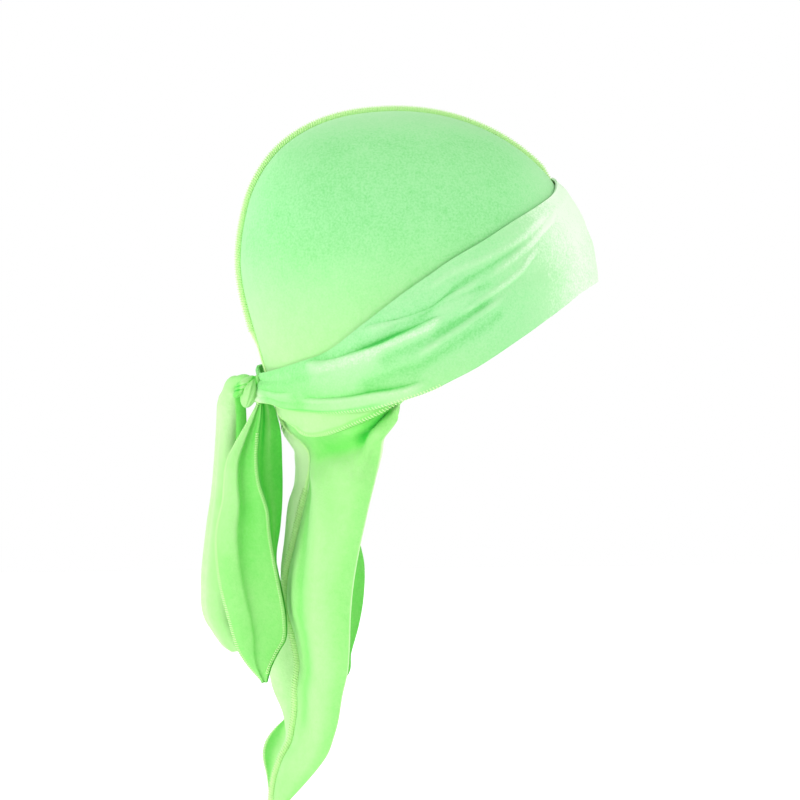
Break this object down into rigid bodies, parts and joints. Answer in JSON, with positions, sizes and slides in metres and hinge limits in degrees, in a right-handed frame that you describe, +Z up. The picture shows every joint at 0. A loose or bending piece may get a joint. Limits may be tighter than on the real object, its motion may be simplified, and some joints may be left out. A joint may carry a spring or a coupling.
{
  "type": "tied durag with long tail",
  "caption": "Fitted head wrap with a centre seam, a pleated forehead band tied behind the nape, hanging tie ends and a long pointed tail.",
  "frame": {"origin": "inside of the crown at its top, where it rests on the head", "axes": "+Z up, the brow faces -Y and the wearer's left side is +X"},
  "size_m": [0.163, 0.2244, 0.3913],
  "materials": {
    "velvet": "bright lime green stretch velvet with a short soft pile and a pale sheen",
    "overlock_thread": "yellower green overlock stitches that wrap the cut edges"
  },
  "bodies": {
    "root": {"side_panel_right": "velvet", "side_panel_left": "velvet", "centre_seam": "overlock_thread", "strap_root_right": "velvet", "strap_root_left": "velvet", "wrap_band": "velvet", "knot": "velvet", "tie_looped": "velvet", "tie_hanging": "velvet"}
  },
  "joints": []
}
